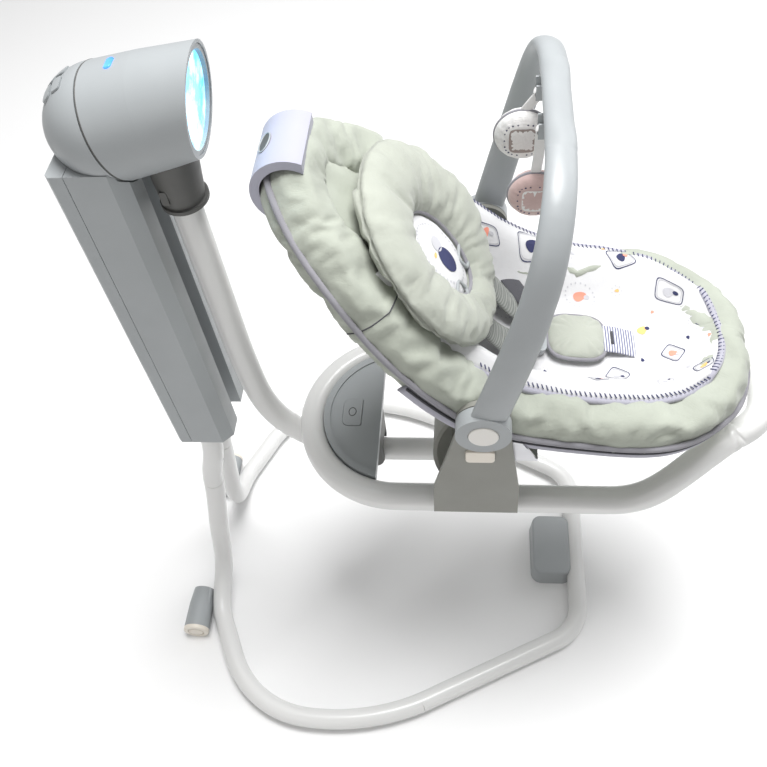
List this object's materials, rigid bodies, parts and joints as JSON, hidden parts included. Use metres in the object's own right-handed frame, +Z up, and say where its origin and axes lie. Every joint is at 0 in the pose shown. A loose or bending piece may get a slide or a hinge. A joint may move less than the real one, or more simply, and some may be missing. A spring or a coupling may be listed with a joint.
{
  "type": "baby swing",
  "caption": "Baby swing: a rocker seat with a toy bar docks on a single arm that swings from a motor head on a looped tube stand.",
  "frame": {"origin": "on the floor at the middle of the whole object's footprint", "axes": "+X towards the foot end of the seat, +Y to the sitter's left, +Z up"},
  "size_m": [0.7769, 0.574, 0.886],
  "materials": {
    "board": "solder mask",
    "cream_plastic": "satin",
    "dark_plastic": "satin moulded",
    "dark_webbing": "woven webbing",
    "gear_plastic": "acetal",
    "grey_plastic": "satin moulded",
    "lamp_lens": "frosted, lit",
    "lilac_plastic": "satin",
    "printed_fabric": "printed cotton",
    "reflector": "bright",
    "sage_fabric": "soft woven, padded",
    "status_lens": "clear blue",
    "steel": "zinc plated",
    "toy_fabric": "plush",
    "white_tube": "semi-gloss white powder coat"
  },
  "bodies": {
    "base": {"axle_bearings": "steel", "base_tube_left": "white_tube", "base_tube_right": "white_tube", "circuit_board": "board", "front_cross_tube": "white_tube", "front_foot": "grey_plastic", "head_rear_shell": "grey_plastic", "housing_screws": "steel", "leg_housing_left": "grey_plastic", "leg_housing_right": "grey_plastic", "leg_rear_cover_left": "grey_plastic", "leg_rear_cover_right": "grey_plastic", "leg_tube_left": "white_tube", "leg_tube_right": "white_tube", "rear_foot_cap_left": "cream_plastic", "rear_foot_cap_right": "cream_plastic", "rear_foot_left": "grey_plastic", "rear_foot_right": "grey_plastic", "swing_motor": "steel"},
    "swing": {"head_front_shell": "grey_plastic", "status_light": "status_lens", "lamp_bezel": "grey_plastic", "lamp_lens": "lamp_lens", "lamp_reflector": "reflector", "main_axle": "steel", "drive_gear": "gear_plastic", "arm_collar": "dark_plastic", "arm_tube": "white_tube"},
    "pinion": {"motor_pinion": "gear_plastic"},
    "button_1": {"control_button_1": "grey_plastic"},
    "button_2": {"control_button_2": "grey_plastic"},
    "button_3": {"control_button_3": "grey_plastic"},
    "button_4": {"control_button_4": "grey_plastic"},
    "snap_pin_left": {"leg_snap_pin_left": "steel"},
    "snap_pin_right": {"leg_snap_pin_right": "steel"},
    "collar_latch": {"collar_latch": "dark_plastic"},
    "rocker": {"rocker_loop": "white_tube", "dock_panel": "grey_plastic", "dock_socket": "dark_plastic", "hub_bracket_left": "dark_plastic", "hub_bracket_right": "dark_plastic", "seat_cradle": "dark_plastic"},
    "release_button": {"release_button": "grey_plastic"},
    "recline_tab_left": {"recline_tab_left": "cream_plastic"},
    "recline_tab_right": {"recline_tab_right": "cream_plastic"},
    "seat": {"seat_frame": "steel", "seat_border": "sage_fabric", "seat_deck": "sage_fabric", "seat_pad": "printed_fabric", "head_pillow": "sage_fabric", "shoulder_straps": "dark_webbing", "harness_buckle": "grey_plastic", "crotch_pad": "sage_fabric", "carry_handle": "lilac_plastic"},
    "toy_bar": {"toy_bar": "grey_plastic"},
    "hub_button_left": {"hub_button_left": "cream_plastic"},
    "hub_button_right": {"hub_button_right": "cream_plastic"},
    "toy_1": {"toy_disc_1": "toy_fabric"},
    "toy_2": {"toy_disc_2": "toy_fabric"}
  },
  "joints": [
    {"name": "swing_arm", "type": "hinge", "parent": "base", "child": "swing", "pos_m": [-0.2575, 0, 0.82], "axis": [0.9736, 0, 0.2284], "range_deg": [-12, 12]},
    {"name": "pinion_spin", "type": "hinge", "parent": "base", "child": "pinion", "pos_m": [-0.2616, 0.03, 0.80466], "axis": [0.9736, 0, 0.2284], "range_deg": [-42, 42]},
    {"name": "control_button_1", "type": "slide", "parent": "base", "child": "button_1", "axis": [0.2284, 0, -0.9736], "range_m": [0, 0.0015], "stiffness_N_per_m": 400},
    {"name": "control_button_2", "type": "slide", "parent": "base", "child": "button_2", "axis": [0.2284, 0, -0.9736], "range_m": [0, 0.0015], "stiffness_N_per_m": 400},
    {"name": "control_button_3", "type": "slide", "parent": "base", "child": "button_3", "axis": [0.2284, 0, -0.9736], "range_m": [0, 0.0015], "stiffness_N_per_m": 400},
    {"name": "control_button_4", "type": "slide", "parent": "base", "child": "button_4", "axis": [0.2284, 0, -0.9736], "range_m": [0, 0.0015], "stiffness_N_per_m": 400},
    {"name": "snap_pin_left", "type": "slide", "parent": "base", "child": "snap_pin_left", "axis": [0, 1, 0], "range_m": [0, 0.003], "stiffness_N_per_m": 500},
    {"name": "snap_pin_right", "type": "slide", "parent": "base", "child": "snap_pin_right", "axis": [0, -1, 0], "range_m": [0, 0.003], "stiffness_N_per_m": 500},
    {"name": "collar_latch", "type": "slide", "parent": "swing", "child": "collar_latch", "axis": [0, 1, 0], "range_m": [0, 0.0015], "stiffness_N_per_m": 400},
    {"name": "rocker_lift", "type": "slide", "parent": "swing", "child": "rocker", "axis": [0, 0, 1], "range_m": [0, 0.15]},
    {"name": "release_button", "type": "slide", "parent": "rocker", "child": "release_button", "axis": [0, 0, -1], "range_m": [0, 0.003], "stiffness_N_per_m": 400},
    {"name": "recline_tab_left", "type": "slide", "parent": "rocker", "child": "recline_tab_left", "axis": [0, -1, 0], "range_m": [0, 0.001], "stiffness_N_per_m": 400},
    {"name": "recline_tab_right", "type": "slide", "parent": "rocker", "child": "recline_tab_right", "axis": [0, 1, 0], "range_m": [0, 0.001], "stiffness_N_per_m": 400},
    {"name": "seat_recline", "type": "hinge", "parent": "rocker", "child": "seat", "pos_m": [0.0615, 0, 0.57], "axis": [0, 1, 0], "range_deg": [-12, 0]},
    {"name": "toy_bar_swing", "type": "hinge", "parent": "rocker", "child": "toy_bar", "pos_m": [0.0615, 0, 0.57], "axis": [0, 1, 0], "range_deg": [-20, 45]},
    {"name": "hub_button_left", "type": "slide", "parent": "toy_bar", "child": "hub_button_left", "axis": [0, -1, 0], "range_m": [0, 0.0025], "stiffness_N_per_m": 400},
    {"name": "hub_button_right", "type": "slide", "parent": "toy_bar", "child": "hub_button_right", "axis": [0, 1, 0], "range_m": [0, 0.0025], "stiffness_N_per_m": 400},
    {"name": "toy_1_swing", "type": "hinge", "parent": "toy_bar", "child": "toy_1", "pos_m": [0.1065, 0.038, 0.809], "axis": [0, 1, 0], "range_deg": [-40, 40]},
    {"name": "toy_2_swing", "type": "hinge", "parent": "toy_bar", "child": "toy_2", "pos_m": [0.1065, -0.014, 0.809], "axis": [0, 1, 0], "range_deg": [-40, 40]}
  ],
  "couplings": [
    {"joint": "pinion_spin", "follows": "swing_arm", "ratio": -3.4}
  ]
}
